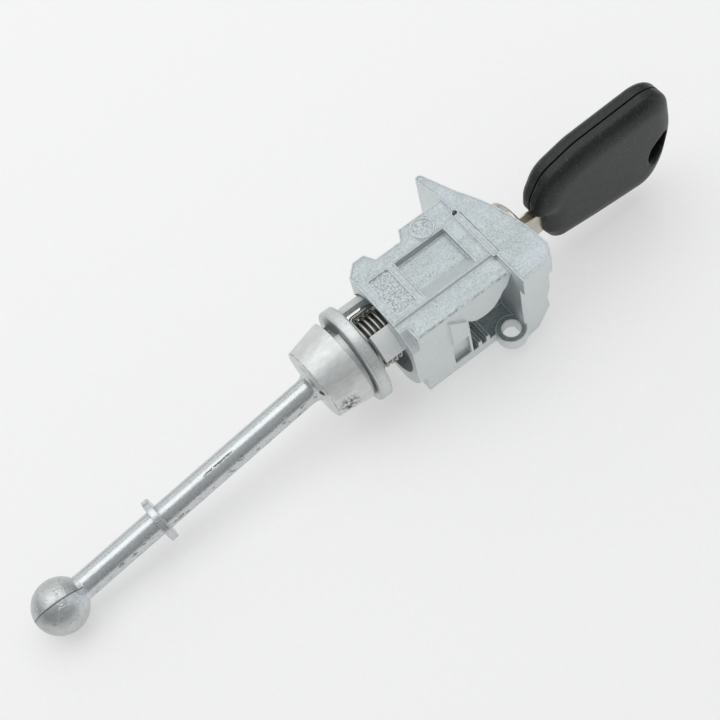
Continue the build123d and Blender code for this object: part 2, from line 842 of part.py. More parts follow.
# Ball stud: shank in the plug's tail, flange on the driver, neck and cross-drilled ball
with BuildPart() as ball_stud:
    with BuildSketch(Plane.XY) as stud_profile:
        flange_face = hub_back - stud_flange_thickness
        neck_meet = pivot_x + sqrt(stud_ball_radius**2 - stud_neck_radius**2)
        shank_end = tail_end + stud_hole_depth - 0.3
        with BuildLine():
            ball_arc = ThreePointArc(
                (pivot_x - stud_ball_radius, 0),
                (pivot_x, stud_ball_radius),
                (neck_meet, stud_neck_radius),
            )
            Polyline(
                ball_arc @ 1,
                (flange_face, stud_neck_radius),
                (flange_face, stud_flange_radius),
                (hub_back, stud_flange_radius),
                (hub_back, stud_shank_radius),
                (shank_end, stud_shank_radius),
                (shank_end, 0),
                ball_arc @ 0,
            )
        make_face()
    revolve(axis=Axis.X)
    with BuildSketch(Plane.XY.offset(-stud_ball_radius)):
        with Locations((pivot_x, 0)):
            Circle(coupling_pin_radius + running_gap)
    extrude(amount=2 * stud_ball_radius, mode=Mode.SUBTRACT)
ball_stud.part.label = "ball_stud"

# Coupling pin, upright through the stud's ball
with BuildPart() as coupling_pin:
    with BuildSketch(Plane.XY.offset(-coupling_pin_length / 2)):
        with Locations((pivot_x, 0)):
            Circle(coupling_pin_radius)
    extrude(amount=coupling_pin_length)
    chamfer(coupling_pin.edges().filter_by(GeomType.CIRCLE), 0.25)
coupling_pin.part.label = "coupling_pin"

# Lever rod: the cup is turned about one slanted line through the pivot, the rod with its
# collar and ball about a steeper one that starts at the cup's end
swing = radians(swing_angle)
pivot_point = Vector(pivot_x, 0, 0)


def slanted_plane(origin, droop_angle):
    """Plane that holds a drooping line: x along the line, y square to it and up."""
    droop = radians(droop_angle)
    line = Vector(cos(swing) * cos(droop), sin(swing) * cos(droop), sin(droop))
    up = Vector(-sin(droop) * cos(swing), -sin(droop) * sin(swing), cos(droop))
    return Plane(origin=origin, x_dir=line, z_dir=line.cross(up))


cup_plane = slanted_plane(pivot_point, cup_droop_angle)
rod_plane = slanted_plane(pivot_point - cup_plane.x_dir * cup_end, rod_droop_angle)
mouth_plane = Plane(origin=pivot_point, x_dir=cup_plane.y_dir, z_dir=cup_plane.x_dir)
slot_plane = Plane(origin=pivot_point, x_dir=cup_plane.x_dir, z_dir=cup_plane.y_dir)
collar_near = collar_distance - rod_collar_thickness / 2
collar_far = collar_distance + rod_collar_thickness / 2
ball_meet = ball_distance - sqrt(ball_radius**2 - rod_radius**2)
socket_radius = stud_ball_radius + loose_gap
socket_angle = radians(socket_half_angle)

with BuildPart() as lever_rod:
    with BuildSketch(cup_plane) as cup_profile:
        with BuildLine():
            Polyline(
                (cup_mouth, 0),
                (cup_mouth, cup_mouth_radius),
                (-cup_end, cup_end_radius),
                (-cup_end, 0),
                close=True,
            )
        make_face()
        fillet(cup_profile.vertices().sort_by(Axis.Y)[-2:].sort_by(Axis.X)[0], cup_edge_radius)
    revolve(axis=Axis(pivot_point, cup_plane.x_dir))
    with BuildSketch(rod_plane) as rod_profile:
        with BuildLine():
            flare = ThreePointArc(
                (0, flare_radius),
                (-0.3 * flare_length, rod_radius + 0.32 * (flare_radius - rod_radius)),
                (-flare_length, rod_radius),
            )
            ball_outline = ThreePointArc(
                (-ball_meet, rod_radius),
                (-ball_distance, ball_radius),
                (-ball_distance - ball_radius, 0),
            )
            Polyline(
                flare @ 1,
                (-collar_near, rod_radius),
                (-collar_near, rod_collar_radius),
                (-collar_far, rod_collar_radius),
                (-collar_far, rod_radius),
                ball_outline @ 0,
            )
            Polyline(ball_outline @ 1, (rod_root, 0), (rod_root, flare_radius), flare @ 0)
        make_face()
        collar_corners = [v for v in rod_profile.vertices() if abs(v.Y - rod_collar_radius) < 0.01]
        collar_corners = [v for v in collar_corners if v.X < -flare_length]
        fillet(collar_corners, collar_edge_radius)
    revolve(axis=Axis(rod_plane.origin, rod_plane.x_dir))
    with BuildSketch(cup_plane):
        with BuildLine():
            socket = CenterArc((0, 0), socket_radius, 180, -socket_half_angle)
            Polyline(
                socket @ 1,
                (-cup_bore_end, cup_bore_radius),
                (pin_slot_reach, cup_bore_radius),
                (pin_slot_reach, retainer_seat_radius),
                (cup_mouth - mouth_depth, retainer_seat_radius),
                (cup_mouth - mouth_depth, mouth_inner_radius),
                (cup_mouth, mouth_inner_radius),
                (cup_mouth, 0),
                socket @ 0,
            )
        make_face()
    revolve(axis=Axis(pivot_point, cup_plane.x_dir), mode=Mode.SUBTRACT)
    with BuildSketch(slot_plane):
        Rectangle(2 * pin_slot_reach, 2 * (coupling_pin_radius + running_gap))
    extrude(amount=pin_slot_radius, both=True, mode=Mode.SUBTRACT)
lever_rod.part.label = "lever_rod"

# Pin retainer: split ring on the step inside the cup
with BuildPart() as pin_retainer:
    with BuildSketch(mouth_plane.offset(pin_slot_reach)):
        Circle(retainer_seat_radius - running_gap)
        Circle(retainer_inner_radius, mode=Mode.SUBTRACT)
        with Locations((-retainer_seat_radius, 0)):
            Rectangle(retainer_seat_radius, retainer_split, mode=Mode.SUBTRACT)
    extrude(amount=retainer_thickness)
pin_retainer.part.label = "pin_retainer"

single_pieces = (
    plug,
    housing,
    face_cap,
    dust_seal,
    key_blade,
    transponder,
    driver,
    return_spring,
    ball_stud,
    coupling_pin,
    lever_rod,
    pin_retainer,
)
for piece in single_pieces:
    export_step(piece.part, f"parts/{piece.part.label}.step")
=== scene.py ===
"""Looks of the car door lock cylinder: materials, key head shells, stage, light and camera."""

import math

import bmesh
import bpy
import numpy as np
from mathutils import Matrix, Vector
from mathutils.geometry import delaunay_2d_cdt


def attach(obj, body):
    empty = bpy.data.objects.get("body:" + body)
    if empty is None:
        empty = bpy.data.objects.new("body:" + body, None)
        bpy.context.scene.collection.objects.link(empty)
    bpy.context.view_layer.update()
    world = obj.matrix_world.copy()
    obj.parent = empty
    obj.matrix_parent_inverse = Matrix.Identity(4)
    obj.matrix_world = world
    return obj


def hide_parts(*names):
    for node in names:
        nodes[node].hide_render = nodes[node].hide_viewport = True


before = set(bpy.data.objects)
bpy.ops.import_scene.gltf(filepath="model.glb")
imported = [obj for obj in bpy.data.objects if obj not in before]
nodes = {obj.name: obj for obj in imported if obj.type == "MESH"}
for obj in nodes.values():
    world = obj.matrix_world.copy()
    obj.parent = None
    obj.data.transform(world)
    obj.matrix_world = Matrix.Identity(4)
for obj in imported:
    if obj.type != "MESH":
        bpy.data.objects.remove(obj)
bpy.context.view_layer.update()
MM = 0.001
TO_MM = 1000.0
AXIS_X, AXIS_Y, AXIS_Z = (1, 0, 0), (0, 1, 0), (0, 0, 1)


# Places on the part, in mm

HOUSING_TOP = 13.95
PANEL_CENTRE = (-40.7, 0.8)
PANEL_HALF = (3.2, 6.6)
BOSS_CENTRE = (-22.6, 11.1, 14.35)
BOSS_RADIUS = 2.9
NEAR_SIDE = -15.0
EDGE_HEIGHT = 13.3
FOOT_HEIGHT = -15.0
LUGS_MIDDLE, LUGS_HALF = -55.0, 7.4
CORE_RADIUS_SQUARED = 52.0
ROD_ROOT = (-70.59, -0.16, -0.22)
ROD_LINE = (0.9939, 0.0382, 0.1033)
ROD_SIDE = (-0.0384, 0.9993, 0.0)
ROD_MIDDLE, ROD_HALF = -42.0, 41.0
BALL_CENTRE = (-158.5, -3.54, -9.36)
BALL_REACH = -88.4
BALL_RADIUS = 8.0
SEAM_NORMAL = (0.023, 0.957, 0.289)
CUP_MIDDLE, CUP_HALF = 6.0, 6.3
CUP_RIM_RADIUS = 10.7
SCAR = (-66.5, -11.6, 0.2)
SCAR_SPOT = (-66.9, -11.5, -1.7)
ROOT_HOLE = (-70.8, -5.3, 2.8)
BLADE_TOP = 4.5


# Materials


def shade(colour, level):
    return tuple(c * level for c in colour)


class Nodes:
    """Short names for building one node material."""

    def __init__(self, name):
        self.mat = bpy.data.materials.new(name)
        self.mat.use_nodes = True
        self.tree = self.mat.node_tree
        self.bsdf = self.tree.nodes["Principled BSDF"]
        coords = self.add("ShaderNodeTexCoord")
        self.place = coords.outputs["Object"]
        self.facing = coords.outputs["Normal"]

    def add(self, kind, **values):
        node = self.tree.nodes.new(kind)
        for key, value in values.items():
            setattr(node, key, value)
        return node

    def link(self, a, b):
        self.tree.links.new(a, b)

    def put(self, socket, value):
        if isinstance(value, bpy.types.NodeSocket):
            self.link(value, socket)
        else:
            socket.default_value = value

    def mapped(self, scale=(1, 1, 1), turn=(0, 0, 0), shift=(0, 0, 0)):
        node = self.add("ShaderNodeMapping")
        node.inputs["Scale"].default_value = scale
        node.inputs["Rotation"].default_value = turn
        node.inputs["Location"].default_value = shift
        self.link(self.place, node.inputs["Vector"])
        return node.outputs["Vector"]

    def noise(self, scale, detail, rough, source=None, distortion=0.0):
        node = self.add("ShaderNodeTexNoise")
        node.inputs["Scale"].default_value = scale
        node.inputs["Detail"].default_value = detail
        node.inputs["Roughness"].default_value = rough
        node.inputs["Distortion"].default_value = distortion
        self.link(source or self.place, node.inputs["Vector"])
        return node.outputs["Fac"]

    def ramp(self, fac, *stops):
        """Colour or grey level between stops of (place, colour or level)."""
        node = self.add("ShaderNodeValToRGB")
        while len(node.color_ramp.elements) < len(stops):
            node.color_ramp.elements.new(0.5)
        for element, (place, colour) in zip(node.color_ramp.elements, stops):
            element.position = place
            if isinstance(colour, (int, float)):
                colour = (colour, colour, colour)
            element.color = (*colour, 1.0)
        self.link(fac, node.inputs["Fac"])
        return node.outputs["Color"]

    def rising(self, fac, low, high, top=1.0):
        return self.ramp(fac, (low, 0.0), (high, top))

    def falling(self, fac, low, high, top=1.0):
        return self.ramp(fac, (low, top), (high, 0.0))

    def mix(self, fac, a, b):
        node = self.add("ShaderNodeMix", data_type="RGBA", blend_type="MIX")
        self.put(node.inputs["Factor"], fac)
        for socket, value in ((node.inputs[6], a), (node.inputs[7], b)):
            self.put(socket, (*value, 1.0) if isinstance(value, tuple) else value)
        return node.outputs[2]

    def tint(self, body, mask, amount, colour):
        """The body with a share of the colour laid over it where the mask is."""
        return self.mix(self.times(mask, amount), body, colour)

    def math(self, kind, a, b=0.0, clamp=False):
        node = self.add("ShaderNodeMath", operation=kind, use_clamp=clamp)
        self.put(node.inputs[0], a)
        self.put(node.inputs[1], b)
        return node.outputs[0]

    def plus(self, a, b):
        return self.math("ADD", a, b)

    def times(self, a, b):
        return self.math("MULTIPLY", a, b)

    def bump(self, height, strength, distance, normal=None):
        node = self.add("ShaderNodeBump")
        node.inputs["Strength"].default_value = strength
        node.inputs["Distance"].default_value = distance
        self.link(height, node.inputs["Height"])
        if normal is not None:
            self.link(normal, node.inputs["Normal"])
        return node.outputs["Normal"]

    def reach(self, direction, origin=(0, 0, 0)):
        """How far the point lies from the origin in the given direction, in mm."""
        step = Vector(direction).normalized()
        dot = self.add("ShaderNodeVectorMath", operation="DOT_PRODUCT")
        self.link(self.place, dot.inputs[0])
        dot.inputs[1].default_value = step * TO_MM
        return self.math("SUBTRACT", dot.outputs["Value"], step.dot(Vector(origin)))

    def distance(self, centre):
        """Distance from a point given in mm, in mm."""
        node = self.add("ShaderNodeVectorMath", operation="DISTANCE")
        self.link(self.place, node.inputs[0])
        node.inputs[1].default_value = Vector(centre) * MM
        return self.times(node.outputs["Value"], TO_MM)

    def within(self, value, centre, half, soft=0.15):
        """1 where the value is nearer the centre than half, with a soft border."""
        off = self.math("ABSOLUTE", self.math("SUBTRACT", value, centre))
        node = self.add("ShaderNodeMapRange", clamp=True)
        self.put(node.inputs["Value"], off)
        node.inputs["From Min"].default_value = half - soft
        node.inputs["From Max"].default_value = half + soft
        node.inputs["To Min"].default_value = 1.0
        node.inputs["To Max"].default_value = 0.0
        return node.outputs["Result"]

    def near(self, centre, radius, soft):
        """1 in a soft ball round a point."""
        return self.within(self.distance(centre), 0.0, radius, soft)

    def all_of(self, *masks):
        result = masks[0]
        for mask in masks[1:]:
            result = self.times(result, mask)
        return result

    def any_of(self, *masks):
        result = masks[0]
        for mask in masks[1:]:
            result = self.math("MAXIMUM", result, mask)
        return result

    def pits(self, scale, size, shift=(0, 0, 0)):
        """Small round pits with ragged borders, at most one to a cell."""
        node = self.add("ShaderNodeTexVoronoi", feature="F1")
        node.inputs["Scale"].default_value = scale
        self.link(self.mapped(shift=shift), node.inputs["Vector"])
        jitter = self.times(self.noise(2200, detail=2, rough=0.55), 0.06)
        ragged = self.plus(node.outputs["Distance"], jitter)
        return self.falling(ragged, size, size + 0.035)

    def creases(self, distance):
        node = self.add("ShaderNodeAmbientOcclusion", samples=4)
        node.inputs["Distance"].default_value = distance
        return node.outputs["AO"]

    def soft_edges(self, radius):
        node = self.add("ShaderNodeBevel", samples=6)
        node.inputs["Radius"].default_value = radius
        return node.outputs["Normal"]

    def edge_mask(self, radius, low, high):
        """1 along sharp edges, 0 on flat faces."""
        bevel = self.soft_edges(radius)
        geometry = self.add("ShaderNodeNewGeometry")
        dot = self.add("ShaderNodeVectorMath", operation="DOT_PRODUCT")
        self.link(bevel, dot.inputs[0])
        self.link(geometry.outputs["Normal"], dot.inputs[1])
        return self.falling(dot.outputs["Value"], low, high)

    def finish(self, colour, roughness, metallic, normal):
        self.put(self.bsdf.inputs["Base Color"], colour)
        self.put(self.bsdf.inputs["Roughness"], roughness)
        self.put(self.bsdf.inputs["Metallic"], metallic)
        self.link(normal, self.bsdf.inputs["Normal"])
        return self.mat


def cast_zinc(name, light, dark, rough_range, grain, bevel, rub_and_edge_light=0.5, pitting=0.75, extra=None):
    """Die-cast zinc: grainy skin, flow marks, pits, painted shade in the corners, and rubbed
    edges painted bright as edge highlights with a band of painted shade beside them.
    """
    m = Nodes(name)
    blotch = m.noise(70, detail=5, rough=0.6)
    streaks = m.mapped(scale=(150, 480, 480), turn=(0.3, 0.1, 0.6))
    flow = m.noise(1.0, detail=4, rough=0.6, source=streaks, distortion=0.8)
    skin = m.noise(1900, detail=3, rough=0.7)
    fine = m.noise(3600, detail=2, rough=0.6)
    tone = m.plus(m.times(blotch, 0.22), m.times(flow, 0.22))
    tone = m.plus(tone, m.times(skin, 0.56))
    body = m.ramp(tone, (0.40, dark), (0.595, light))

    # Dark colour for the pits and specks, and for the painted shade beside the edges.
    pit_and_shade_colour = shade(dark, 0.34)
    pits = m.pits(125, 0.035)
    speck_noise = m.noise(1500, detail=2, rough=0.5, source=m.mapped(shift=(0.3, 0.1, 0.2)))
    specks = m.falling(speck_noise, 0.30, 0.345)
    body = m.tint(body, pits, pitting, pit_and_shade_colour)
    body = m.tint(body, specks, 0.8 * pitting, pit_and_shade_colour)
    # Painted shade: darker where ambient occlusion finds corners and creases.
    crease_shade = m.falling(m.creases(1.2 * MM), 0.2, 0.7, 0.6 * pitting)
    body = m.mix(crease_shade, body, (dark[0] * 0.5, dark[1] * 0.62, dark[2] * 0.7))

    # Painted highlight: sharp edges turn pale and less metallic, partly rubbed wear and partly a
    # stand-in for edge highlights.
    uneven = m.ramp(m.noise(600, detail=3, rough=0.6), (0.34, 0.5), (0.5, 1.0))
    wear_and_highlight = m.all_of(m.edge_mask(bevel * 2, 0.93, 0.985), uneven)
    # Painted shade: a darker band beside the painted edge highlight.
    beside_shade = m.math("SUBTRACT", m.edge_mask(bevel * 4, 0.96, 0.995), wear_and_highlight, clamp=True)
    body = m.tint(body, beside_shade, 0.6 * rub_and_edge_light, pit_and_shade_colour)
    wear_and_highlight = m.times(wear_and_highlight, rub_and_edge_light)
    body = m.mix(wear_and_highlight, body, (0.98, 0.99, 0.99))
    metallic = m.math("SUBTRACT", 1.0, m.times(wear_and_highlight, 0.85), clamp=True)

    rough_low, rough_high = rough_range
    sheen = m.plus(m.times(blotch, 0.4), m.times(skin, 0.6))
    rough = m.ramp(sheen, (0.35, rough_low), (0.65, rough_high))
    height = m.plus(m.times(fine, 0.35), skin)
    height = m.math("SUBTRACT", height, m.times(pits, 1.5))
    normal = m.bump(height, grain, 0.3 * MM, m.soft_edges(bevel))
    if extra:
        body, rough, normal = extra(m, body, rough, normal)
    return m.finish(body, rough, metallic, normal)


def housing_marks(m, body, rough, normal):
    """Rough panel and boss, ragged lines along the near edges, haze, side faces painted paler as
    painted light, and pale lugs.
    """
    along, across, above = m.reach(AXIS_X), m.reach(AXIS_Y), m.reach(AXIS_Z)
    top = m.within(above, HOUSING_TOP, 0.6, soft=0.05)
    panel = m.all_of(
        top,
        m.within(along, PANEL_CENTRE[0], PANEL_HALF[0]),
        m.within(across, PANEL_CENTRE[1], PANEL_HALF[1]),
    )
    disc = m.all_of(top, m.near(BOSS_CENTRE, BOSS_RADIUS, soft=0.2))
    stipple = m.any_of(panel, m.times(disc, 0.9))
    pebbles = m.noise(1900, detail=3, rough=0.7, source=m.mapped(shift=(0.5, 0.2, 0.1)))
    pebble_tone = m.ramp(pebbles, (0.40, (0.29, 0.32, 0.33)), (0.56, (0.60, 0.64, 0.65)))
    body = m.mix(stipple, body, pebble_tone)
    normal = m.bump(m.times(pebbles, stipple), 0.4, 0.5 * MM, normal)

    ragged_noise = m.noise(900, detail=4, rough=0.7, source=m.mapped(shift=(0.1, 0.7, 0.4)))
    ragged = m.rising(ragged_noise, 0.42, 0.56)
    edge = m.all_of(
        m.within(across, NEAR_SIDE, 0.32, soft=0.12),
        m.within(above, EDGE_HEIGHT, 0.4, soft=0.12),
    )
    foot = m.all_of(
        m.within(across, NEAR_SIDE, 0.5, soft=0.1),
        m.within(above, FOOT_HEIGHT, 0.35, soft=0.1),
    )
    lines = m.times(m.any_of(edge, foot), ragged)
    body = m.tint(body, lines, 0.8, (0.10, 0.12, 0.12))

    haze_noise = m.noise(60, detail=3, rough=0.5, source=m.mapped(shift=(0.0, 0.3, 0.2)))
    haze = m.rising(haze_noise, 0.46, 0.64, 0.3)
    body = m.mix(haze, body, (0.58, 0.62, 0.68))
    # Painted light: faces that do not point up are made paler and rougher.
    axes = m.add("ShaderNodeSeparateXYZ")
    m.link(m.facing, axes.inputs["Vector"])
    side_light = m.falling(axes.outputs["Z"], 0.88, 0.97, 0.7)
    body = m.mix(side_light, body, (0.82, 0.86, 0.86))
    rough = m.plus(rough, m.times(side_light, 0.15))
    lugs = m.within(along, LUGS_MIDDLE, LUGS_HALF, soft=0.1)
    body = m.tint(body, lugs, 0.7, (0.90, 0.91, 0.91))
    rough = m.plus(rough, m.times(lugs, 0.2))
    return body, rough, normal


def driver_core_shade(m, body, rough, normal):
    """Painted shade: the core inside the return spring is darkened."""
    squares = [m.times(m.reach(axis), m.reach(axis)) for axis in (AXIS_Y, AXIS_Z)]
    core_shade = m.within(m.plus(*squares), 0.0, CORE_RADIUS_SQUARED, soft=2.0)
    body = m.tint(body, core_shade, 0.85, (0.07, 0.08, 0.075))
    return body, rough, normal


def ball_shading(m, body, ball):
    """Painted shade under the ball's seam toward the free end, and a painted pale reflection
    toward the rod.
    """
    width = 2 * BALL_RADIUS
    below = m.plus(m.times(m.reach(SEAM_NORMAL, BALL_CENTRE), 1 / width), 0.5)
    under = m.times(ball, m.ramp(below, (0.1, 0.0), (0.44, 1.0), (0.495, 1.0), (0.5, 0.0)))
    inward = m.plus(m.times(m.reach(ROD_LINE, BALL_CENTRE), 1 / width), 0.5)
    outer = m.times(under, m.ramp(inward, (0.1, 0.35), (0.45, 0.5), (0.62, 0.0)))
    body = m.mix(outer, body, (0.28, 0.30, 0.31))
    inner = m.times(under, m.rising(inward, 0.62, 0.8, 0.8))
    return m.mix(inner, body, (0.82, 0.88, 0.92))


def lever_marks(m, body, rough, normal):
    """Brushed cup, its rim and scar, the rod's nicks and scratch, the ball's seam and dents,
    painted shade and reflection on the ball, and a black dot of painted shade for a hole at the
    rod's root.
    """
    along_rod = m.reach(ROD_LINE, ROD_ROOT)
    across = m.reach(ROD_SIDE, ROD_ROOT)
    ragged = m.noise(700, detail=4, rough=0.7)
    seam = m.all_of(
        m.within(m.reach(SEAM_NORMAL, BALL_CENTRE), 0.0, 0.17, soft=0.10),
        m.within(along_rod, BALL_REACH, BALL_RADIUS, soft=0.2),
        m.within(m.reach(AXIS_Z, (0, 0, BALL_CENTRE[2])), 10.0, 10.0, soft=0.3),
    )
    wavy = m.plus(across, m.times(ragged, 1.2))
    scratch = m.all_of(
        m.within(along_rod, -33.0, 4.6, soft=0.8),
        m.within(wavy, -0.05, 0.16, soft=0.12),
        m.rising(ragged, 0.40, 0.5),
        m.within(m.reach(AXIS_Z), 0.0, 12.0, soft=0.1),
    )
    stretched = m.mapped(scale=(330, 900, 900), shift=(0.2, 0.4, 0.0))
    nicks = m.all_of(
        m.within(along_rod, ROD_MIDDLE, ROD_HALF, soft=0.5),
        m.within(across, -3.45, 0.55, soft=0.2),
        m.rising(m.noise(1.0, detail=4, rough=0.7, source=stretched), 0.58, 0.63),
    )
    scar_noise = m.noise(800, detail=5, rough=0.75, source=m.mapped(shift=(0.1, 0.0, 0.6)))
    scar = m.all_of(m.near(SCAR, 2.6, soft=1.1), m.rising(scar_noise, 0.47, 0.51))
    # Painted shade: a black dot stands for a hole at the rod's root.
    hole = m.near(ROOT_HOLE, 0.9, soft=0.15)
    spot = m.near(SCAR_SPOT, 0.8, soft=0.2)
    rim = m.all_of(
        m.within(m.distance(ROD_ROOT), CUP_RIM_RADIUS, 0.1, soft=0.08),
        m.within(along_rod, 4.0, 6.5, soft=0.3),
        m.rising(ragged, 0.48, 0.56),
    )

    cup = m.within(along_rod, CUP_MIDDLE, CUP_HALF, soft=0.3)
    ball = m.within(along_rod, BALL_REACH, BALL_RADIUS, soft=0.4)
    brushed = m.noise(1.0, detail=4, rough=0.65, source=m.mapped(scale=(260, 620, 620)))
    brushed_tone = m.ramp(brushed, (0.36, (0.67, 0.685, 0.675)), (0.64, (0.79, 0.80, 0.785)))
    body = m.mix(cup, body, brushed_tone)
    body = m.tint(body, ball, 0.5, (0.58, 0.585, 0.57))
    body = ball_shading(m, body, ball)
    rough = m.plus(rough, m.times(m.any_of(cup, m.times(ball, 0.55)), 0.28))

    dark = m.any_of(
        m.times(seam, 0.8),
        m.times(rim, 0.6),
        m.times(scratch, 0.85),
        m.times(nicks, 0.55),
        m.times(scar, 0.85),
        hole,
        spot,
    )
    body = m.mix(dark, body, (0.07, 0.075, 0.075))
    normal = m.bump(dark, 0.5, 0.3 * MM, normal)
    dents = m.rising(m.noise(480, detail=3, rough=0.6), 0.52, 0.66)
    normal = m.bump(m.times(dents, ball), 0.35, 0.6 * MM, normal)
    return body, rough, normal


def drawn_steel(name, colour, rough, grain_scale, bevel=0.2 * MM, extra=None):
    """Drawn or ground metal: fine lines along the grain and a few darker blotches."""
    m = Nodes(name)
    grain = m.noise(1.0, detail=3, rough=0.6, source=m.mapped(scale=grain_scale))
    tone = m.ramp(grain, (0.3, shade(colour, 0.82)), (0.7, colour))
    blotch = m.rising(m.noise(240, detail=4, rough=0.6), 0.45, 0.7)
    tone = m.tint(tone, blotch, 0.35, shade(colour, 0.7))
    roughness = m.ramp(grain, (0.3, rough * 0.8), (0.7, rough * 1.25))
    normal = m.bump(grain, 0.08, 0.2 * MM, m.soft_edges(bevel))
    if extra:
        tone, roughness, normal = extra(m, tone, roughness, normal)
    return m.finish(tone, roughness, 1.0, normal)


def blade_top_reflection(m, tone, roughness, normal):
    """Painted reflection: a darker brown stripe along the middle of the blade's upper edge."""
    stripe = m.all_of(
        m.within(m.reach(AXIS_Z), BLADE_TOP, 0.25, soft=0.05),
        m.within(m.reach(AXIS_Y), -0.1, 1.15),
    )
    patchy = m.ramp(m.noise(700, detail=4, rough=0.7), (0.3, 0.7), (0.6, 1.0))
    tone = m.tint(tone, stripe, patchy, (0.14, 0.115, 0.08))
    return tone, m.plus(roughness, m.times(stripe, 0.25)), normal


def polymer(name, colour, rough, grain_scale, grain_strength, bevel=0.3 * MM):
    """Moulded plastic: fine grain, a little dust and light rubs, and painted shade that turns
    creases black.
    """
    m = Nodes(name)
    grain = m.add("ShaderNodeTexVoronoi", feature="F1")
    grain.inputs["Scale"].default_value = grain_scale
    m.link(m.place, grain.inputs["Vector"])
    blotch = m.noise(120, detail=4, rough=0.6)
    tone = m.ramp(blotch, (0.3, shade(colour, 0.8)), (0.7, shade(colour, 1.2)))
    dust = m.rising(m.noise(1700, detail=3, rough=0.75), 0.57, 0.66)
    lint = m.pits(210, 0.03, shift=(0.2, 0.4, 0.1))
    strokes = m.mapped(scale=(260, 2600, 1500), turn=(0.2, 0.7, 0.4))
    rubs = m.rising(m.noise(1.0, detail=3, rough=0.6, source=strokes), 0.63, 0.68)
    marks = m.any_of(m.times(dust, 0.28), m.times(lint, 0.35), m.times(rubs, 0.14))
    tone = m.mix(marks, tone, (0.17, 0.175, 0.175))
    # Painted shade: nearly black where ambient occlusion finds creases.
    tone = m.mix(m.falling(m.creases(7 * MM), 0.3, 0.62), tone, (0.001, 0.001, 0.001))
    m.bsdf.inputs["Specular IOR Level"].default_value = 0.38
    roughness = m.ramp(blotch, (0.3, rough * 0.92), (0.7, rough * 1.08))
    normal = m.bump(grain.outputs["Distance"], grain_strength, 0.2 * MM, m.soft_edges(bevel))
    return m.finish(tone, roughness, 0.0, normal)


zinc_housing = cast_zinc(
    "zinc_housing",
    light=(0.55, 0.59, 0.595),
    dark=(0.33, 0.37, 0.375),
    rough_range=(0.34, 0.5),
    grain=0.34,
    bevel=0.35 * MM,
    rub_and_edge_light=0.95,
    extra=housing_marks,
)
zinc_driver = cast_zinc(
    "zinc_driver",
    light=(0.74, 0.76, 0.75),
    dark=(0.59, 0.61, 0.605),
    rough_range=(0.42, 0.56),
    grain=0.16,
    bevel=0.3 * MM,
    rub_and_edge_light=0.6,
    pitting=0.3,
    extra=driver_core_shade,
)
zinc_lever = cast_zinc(
    "zinc_lever",
    light=(0.65, 0.67, 0.675),
    dark=(0.53, 0.555, 0.56),
    rough_range=(0.22, 0.30),
    grain=0.10,
    bevel=0.3 * MM,
    pitting=0.2,
    extra=lever_marks,
)
zinc_plug = cast_zinc(
    "zinc_plug",
    light=(0.60, 0.60, 0.58),
    dark=(0.42, 0.42, 0.41),
    rough_range=(0.3, 0.45),
    grain=0.08,
    bevel=0.2 * MM,
)
steel_cap = drawn_steel("steel_cap", (0.56, 0.53, 0.48), 0.26, (300, 2500, 2500))
steel_pin = drawn_steel("steel_pin", (0.55, 0.55, 0.55), 0.25, (1200, 1200, 1200))
spring_steel = drawn_steel(
    "spring_steel", (0.47, 0.46, 0.43), 0.26, (2000, 500, 500), bevel=0.1 * MM
)
nickel_blade = drawn_steel(
    "nickel_blade", (0.70, 0.65, 0.56), 0.3, (250, 2500, 2500), extra=blade_top_reflection
)
brass_wafer = drawn_steel(
    "brass_wafer", (0.72, 0.55, 0.28), 0.3, (800, 800, 800), bevel=0.1 * MM
)
key_plastic = polymer("key_plastic", (0.012, 0.0135, 0.0135), 0.40, 2300, 0.16, bevel=0.4 * MM)
seal_rubber = polymer("seal_rubber", (0.02, 0.02, 0.02), 0.6, 3000, 0.1)
chip_plastic = polymer("chip_plastic", (0.015, 0.015, 0.017), 0.3, 3000, 0.03)


# Key head: two rounded shells with the notch beside the blade and the key-ring hole.
# Outlines run clockwise, as (corner, radius) in mm along X and Z.

KEY_OUTLINE = (
    ((7.7, -3.6), 3.0),
    ((7.7, 4.9), 0.5),
    ((4.9, 6.3), 1.2),
    ((5.3, 11.5), 8.0),
    ((9.4, 19.4), 9.0),
    ((21.0, 22.6), 20.0),
    ((45.5, 23.7), 10.0),
    ((51.5, 20.6), 8.0),
    ((53.1, 6.2), 26.0),
    ((50.4, -6.6), 20.0),
    ((45.0, -14.0), 8.0),
    ((25.5, -11.7), 30.0),
    ((10.5, -9.4), 5.0),
)
RING_HOLE = (((44.7, -5.2), 1.3), ((43.4, 1.6), 6.5), ((50.6, 7.6), 1.0), ((50.0, 0.4), 9.0))
SHELL_HEIGHT = 5.4
SHELL_EDGE = 1.9
SHELL_ROUND = 6.2
HOLE_ROUND = 1.2
HOLE_EDGE_SHARE = 0.35
SPLIT_HALF = 0.22
CORE_INSET = 0.6
GRID_STEP = 0.8
BORDER_ROWS = (0.05, 0.14, 0.28, 0.5, 0.8, 1.2, 1.7)
BORDER_GAP = 0.04
SHARP_ANGLE = 50


def rounded(corners, step):
    """Closed outline with each corner replaced by an arc of its radius."""
    points = []
    count = len(corners)
    for index, (corner, radius) in enumerate(corners):
        here = Vector(corner)
        before = (Vector(corners[index - 1][0]) - here).normalized()
        after = (Vector(corners[(index + 1) % count][0]) - here).normalized()
        half = before.angle(after) / 2
        run = radius / math.tan(half)
        start, end = here + before * run, here + after * run
        centre = here + (before + after).normalized() * (radius / math.sin(half))
        steps = max(3, int((math.pi - 2 * half) * radius / step))
        for k in range(steps + 1):
            spoke = start.lerp(end, k / steps) - centre
            points.append(centre + spoke.normalized() * radius)
    outline = []
    for a, b in zip(points, points[1:] + points[:1]):
        parts = max(1, int((b - a).length / step))
        outline += [a.lerp(b, k / parts) for k in range(parts)]
    return np.array([tuple(p) for p in outline])


